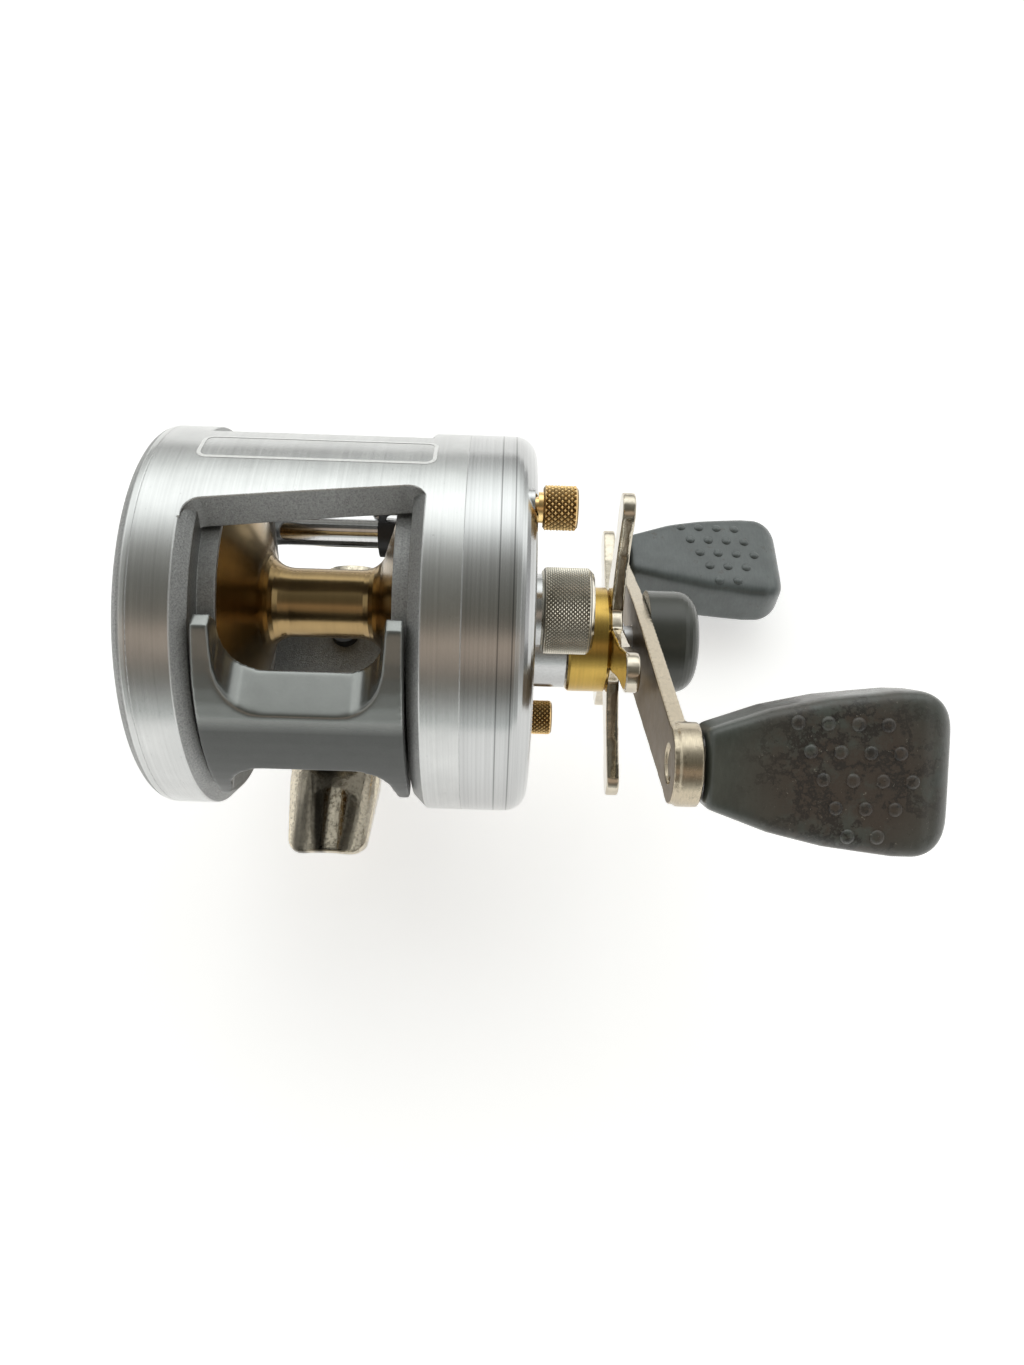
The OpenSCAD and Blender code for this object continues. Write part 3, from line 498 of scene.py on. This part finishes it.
def softened(node, voxel, passes, material, body):
    """A copy of a CAD node with its edges worn round, standing for that node."""
    mesh = nodes[node].data.copy()
    mesh.materials.clear()
    mesh.name = node + "_soft"
    obj = make_object(node + "_soft", mesh, material, body, [node])
    remesh = obj.modifiers.new("even", "REMESH")
    remesh.mode = "VOXEL"
    remesh.voxel_size = voxel
    smooth = obj.modifiers.new("soft", "SMOOTH")
    smooth.iterations = passes
    bpy.context.view_layer.update()
    worn = bpy.data.meshes.new_from_object(obj.evaluated_get(bpy.context.evaluated_depsgraph_get()))
    worn.shade_smooth()
    obj.modifiers.clear()
    obj.data = worn


def triangle_wave(value):
    """0 at whole numbers and 1 half way between."""
    return 1 - abs(2 * (value - math.floor(value)) - 1)


def knurl_cut(knurl, turn, x):
    """How deep a diamond knurl cuts at a turn (0 to 1) round the axis and a place along it."""
    one = triangle_wave(knurl["count"] * turn + x / knurl["pitch"])
    other = triangle_wave(knurl["count"] * turn - x / knurl["pitch"])
    return knurl["depth"] * (1 - min(1.0, 1.35 * min(one, other)))


def lathe(name, centre, outline, around, material, body, cad, knurl):
    """Revolves a closed (x, radius) outline in mm about an axis along X, and knurls its widest band."""
    points = []
    for (x0, r0), (x1, r1) in zip(outline, outline[1:] + outline[:1]):
        cut = x0 != x1 and r0 == r1 == knurl["radius"]
        count = round(abs(x1 - x0) / knurl["step"]) if cut else 1
        for i in range(count):
            points.append((x0 + (x1 - x0) * i / count, r0 + (r1 - r0) * i / count, cut and i > 0))
    size = len(points)
    verts, faces = [], []
    for i in range(around):
        turn = i / around
        c, s = math.cos(turn * math.tau), math.sin(turn * math.tau)
        for x, r, cut in points:
            reach = (r - knurl_cut(knurl, turn, x) if cut else r) * MM
            verts.append((x * MM, centre[0] + reach * c, centre[1] + reach * s))
        a, b = i * size, (i + 1) % around * size
        for k in range(size):
            j = (k + 1) % size
            faces.append((a + k, a + j, b + j, b + k))
    mesh = outward_mesh(name, verts, faces, 1e-7)
    make_object(name, mesh, material, body, cad)
    mesh.set_sharp_from_angle(angle=math.radians(50))


# ---------- knobs ----------

def between(stations, x):
    """Value at x on straight lines between (x, value) stations."""
    for (x0, v0), (x1, v1) in zip(stations, stations[1:]):
        if x <= x1:
            return v0 + (v1 - v0) * (x - x0) / (x1 - x0)
    return stations[-1][1]


def pulled_in(radius, distance):
    """How far a quarter round pulls a side in at a distance from the end."""
    if distance >= radius:
        return 0.0
    return radius - math.sqrt(max(0.0, radius ** 2 - (radius - distance) ** 2))


def squared(reach, share):
    """One coordinate of the squared section, from its half size and a cosine or sine."""
    return reach * math.copysign(abs(share) ** (2 / KNOB_SQUARE), share)


def face_height(x, y):
    """Height of the knob's broad face above its mid plane."""
    flat = 1 - abs(y / between(KNOB_WIDTH, x)) ** KNOB_SQUARE
    return between(KNOB_DEPTH, x) * flat ** (1 / KNOB_SQUARE)


def knob_ring(x):
    """Points of the knob's section at x, with its far end and its neck rounded off."""
    end = pulled_in(4.9, KNOB_LENGTH - x)
    neck = pulled_in(0.8, x)
    width = between(KNOB_WIDTH, x) - end - neck
    depth = between(KNOB_DEPTH, x) - 0.62 * end - neck
    turns = [math.tau * i / KNOB_AROUND for i in range(KNOB_AROUND)]
    return [(x, squared(width, math.cos(turn)), squared(depth, math.sin(turn))) for turn in turns]


def add_dome(verts, faces, place, x, y, side):
    """A low round grip bump on one broad face, its rim sunk a little below that face."""
    radius, height, sunk, rows, around = 0.98, 0.55, 0.1, 6, 20
    base = side * face_height(x, y)
    first = len(verts)
    for j in range(rows):
        lean = math.pi / 2 * (1 - j / rows)
        reach = radius * math.sin(lean)
        up = base + side * (height * math.cos(lean) - sunk)
        for i in range(around):
            turn = math.tau * i / around
            verts.append(place((x + reach * math.cos(turn), y + reach * math.sin(turn), up)))
    tip = len(verts)
    verts.append(place((x, y, base + side * (height - sunk))))
    for i in range(around):
        k = (i + 1) % around
        for a in range(first, tip - around, around):
            faces.append((a + i, a + k, a + around + k, a + around + i))
        faces.append((tip - around + i, tip - around + k, tip))


def knob(name, centre, tilt, material, body, cad):
    """Paddle knob, bored for its axle, with rows of grip bumps on both broad faces."""
    bore, bore_end = 2.46, 6.0
    bump_x, bump_y, bump_pitch, row_shift, row_pitch = 10.9, 6.3, 3.75, 1.7, 3.5
    bump_rows = (4, 4, 4, 3, 2)
    cos_tilt, sin_tilt = math.cos(tilt), math.sin(tilt)

    def place(point):
        x, y, z = point
        across, up = y * cos_tilt - z * sin_tilt, y * sin_tilt + z * cos_tilt
        return ((KNOB_START + x) * MM, centre[0] + across * MM, centre[1] + up * MM)

    around = KNOB_AROUND
    verts = [place(point) for k in range(KNOB_ALONG + 1) for point in knob_ring(KNOB_LENGTH * k / KNOB_ALONG)]
    hole = len(verts)
    last = hole - around
    for x in (0.0, bore_end):
        for i in range(around):
            turn = math.tau * i / around
            verts.append(place((x, bore * math.cos(turn), bore * math.sin(turn))))
    faces = [tuple(last + i for i in range(around)), tuple(hole + around + i for i in range(around))]
    for i in range(around):
        j = (i + 1) % around
        for a in range(0, last, around):
            faces.append((a + i, a + j, a + around + j, a + around + i))
        faces.append((j, i, hole + i, hole + j))
        faces.append((hole + j, hole + i, hole + around + i, hole + around + j))
    for side in (1, -1):
        for row, count in enumerate(bump_rows):
            for i in range(count):
                x = bump_x + row_shift * row + bump_pitch * i
                add_dome(verts, faces, place, x, bump_y - row_pitch * row, side)
    make_object(name, outward_mesh(name, verts, faces), material, body, [cad])


# ---------- printed line ----------

def add_printed_outline(material):
    """Thin white printed line with rounded corners, wrapped round the top crossbar."""
    x0, x1 = -13.0, 20.1
    low, high = math.radians(56), math.radians(69.5)
    reach = RIM_RADIUS / MM + 0.03
    line, corner, arc_steps = 0.55, 1.6, 8
    up0, up1 = corner, (high - low) * reach - corner
    centres = ((x1 - corner, up1), (x0 + corner, up1), (x0 + corner, up0), (x1 - corner, up0))
    path = []
    for quarter, (x, up) in enumerate(centres):
        for i in range(arc_steps + 1):
            turn = math.radians(90 * (quarter + i / arc_steps))
            path.append((x, up, math.cos(turn), math.sin(turn)))
    rows = []
    for (xa, ua, c, s), (xb, ub, _, _) in zip(path, path[1:] + path[:1]):
        count = max(1, round(math.hypot(xb - xa, ub - ua)))
        rows += [(xa + (xb - xa) * i / count, ua + (ub - ua) * i / count, c, s) for i in range(count)]
    verts = []
    for x, up, c, s in rows:
        for out in (corner, corner - line):
            turn = low + (up + out * s) / reach
            y, z = RIM[0] + reach * MM * math.cos(turn), RIM[1] + reach * MM * math.sin(turn)
            verts.append(((x + out * c) * MM, y, z))
    size = len(verts)
    mesh = bpy.data.meshes.new("printed_outline")
    mesh.from_pydata(verts, [], [(k, k + 1, (k + 3) % size, (k + 2) % size) for k in range(0, size, 2)])
    make_object("printed_outline", mesh, material, "reel_frame")


# ---------- build ----------

bpy.context.scene.view_settings.view_transform = "Standard"
add_camera()
add_world()
add_floor(min(cad_low.z, -7 * MM) - 0.5 * MM)

frame_alu = aluminium_frame()
plate_alu = turned_aluminium()
star_nickel = cast_nickel("star_nickel", (0.62, 0.56, 0.46), 0.12, 0.12)
foot_nickel = cast_nickel("foot_nickel", (0.5, 0.45, 0.36), 0.08, 0.05, 0.008)
arm_metal = handle_metal()
screw_steel = plain_metal("screw_steel", (0.62, 0.62, 0.62), 0.25)
dark_steel = plain_metal("foot_screw", (0.08, 0.08, 0.08), 0.35)
machined = plain_metal("mechanism_steel", (0.55, 0.55, 0.56), 0.3)
bearing = turned_metal("bearing_steel", (0.6, 0.6, 0.62), 0.2, SPOOL)
gold = turned_metal("spool_gold", (0.38, 0.265, 0.125), 0.2, SPOOL, 0.002, 0.92)
hub_gold = turned_metal("hub_gold", (0.54, 0.36, 0.09), 0.2, DRIVE)
brass = {side: knurled_metal("takedown_brass_" + side, (0.9, 0.62, 0.28), 0.18, at_ring(turn), SCREW_KNURL)
         for side, turn, sunk in SCREW_SIDES}
gear_brass = plain_metal("pinion_brass", (0.68, 0.5, 0.22), 0.3)
bronze = plain_metal("brake_bronze", (0.55, 0.38, 0.2), 0.35)
chrome = turned_metal("guard_chrome", (0.7, 0.7, 0.7), 0.1, WORM, 0.002)
cap_nickel = knurled_metal("cap_nickel", (0.84, 0.79, 0.68), 0.2, SPOOL, CAP_KNURL)
ratchet_steel = plain_metal("ratchet_steel", (0.3, 0.3, 0.3), 0.35)
black = plastic("guide_black", (0.03, 0.03, 0.032), 0.4)
ivory = plastic("gear_plastic", (0.75, 0.72, 0.63), 0.45)
tan = plastic("cam_plastic", (0.55, 0.45, 0.28), 0.5)
cap_grey = plastic("cap_grey", (0.06, 0.063, 0.053), 0.17, 0.004)
fibre = plastic("drag_fibre", (0.05, 0.045, 0.04), 0.7, 0.03)
thumb = thumb_paint()
near_rubber = knob_rubber("knob_rubber_soiled", (0.066, 0.074, 0.062), (73.5 * MM, *at_arm(1)))
far_rubber = knob_rubber("knob_rubber", (0.092, 0.108, 0.107))

FINISH = {
    frame_alu: ["frame", "palm_cover"],
    plate_alu: ["gear_plate", "plate_posts"],
    star_nickel: ["star_wheel"],
    foot_nickel: ["reel_foot"],
    arm_metal: ["handle_arm", "knob_axles"],
    screw_steel: ["palm_screws", "mechanism_screws", "plate_screw", "yoke_posts", "idler_post", "pawl_post",
                  "handle_nut", "yoke_springs"],
    dark_steel: ["foot_screws"],
    machined: ["mechanism_plate", "yoke", "drive_shaft", "spool_shaft", "clutch_pin", "brake_hub",
               "drag_sleeve", "pressure_plate", "worm_shaft", "guide_pawl"],
    bearing: ["left_bearing", "right_bearing", "pinion_bearing", "drive_bearing", "boss_bearing"],
    gold: ["spool"],
    hub_gold: ["star_hub"],
    brass["top"]: ["takedown_screw_top"],
    brass["bottom"]: ["takedown_screw_bottom"],
    gear_brass: ["pinion", "main_gear"],
    bronze: ["brake_drum", "worm_bushings", "cap_shim", "pawl_cap"],
    chrome: ["worm_tube", "guide_rail", "guide_insert"],
    cap_nickel: ["cast_cap"],
    ratchet_steel: ["ratchet", "ratchet_pawl"],
    black: ["line_guide"],
    ivory: ["level_wind_cog", "idler_gear", "worm_gear", "brake_blocks"],
    tan: ["clutch_cam"],
    cap_grey: ["nut_cap"],
    fibre: ["drag_washers"],
    thumb: ["thumb_bar"],
    near_rubber: ["knob_near"],
    far_rubber: ["knob_far"],
}
for paint, names in FINISH.items():
    for name in names:
        mesh = nodes[name].data
        mesh.materials.clear()
        mesh.materials.append(paint)

softened("thumb_bar", 0.2 * MM, 34, thumb, "thumb_clutch")
softened("reel_foot", 0.15 * MM, 14, foot_nickel, "reel_frame")
softened("star_wheel", 0.2 * MM, 14, star_nickel, "star")
softened("handle_arm", 0.2 * MM, 6, arm_metal, "handle")

cap_outside = [(35.7, 5.65), (35.7, 6.0), (36.3, 6.65), (42.8, 6.65), (43.6, 5.85), (43.6, 0.01)]
cap_inside = [(41.1, 0.01), (41.1, 5.65)]
lathe("cast_cap_knurled", SPOOL, cap_outside + cap_inside, 528, cap_nickel, "cast_control", ["cast_cap"],
      CAP_KNURL)

screw_shank = [(20, 0.01), (20, 1.45), (34.3, 1.45), (34.3, 2.1)]
screw_head = [(34.9, 2.1), (34.9, 2.6), (35.2, 3.05), (39.3, 3.05), (39.65, 2.6), (39.7, 0.01)]
for label, turn, sunk in SCREW_SIDES:
    outline = screw_shank + [(x - sunk, r) for x, r in screw_head]
    lathe("thumb_screw_" + label, at_ring(turn), outline, 264, brass[label], label + "_thumb_screw",
          ["takedown_screw_" + label], SCREW_KNURL)

knob("near_paddle", at_arm(1), math.radians(28), near_rubber, "near_knob", "knob_near")
knob("far_paddle", at_arm(-1), math.radians(-10), far_rubber, "far_knob", "knob_far")
add_printed_outline(printed_white())
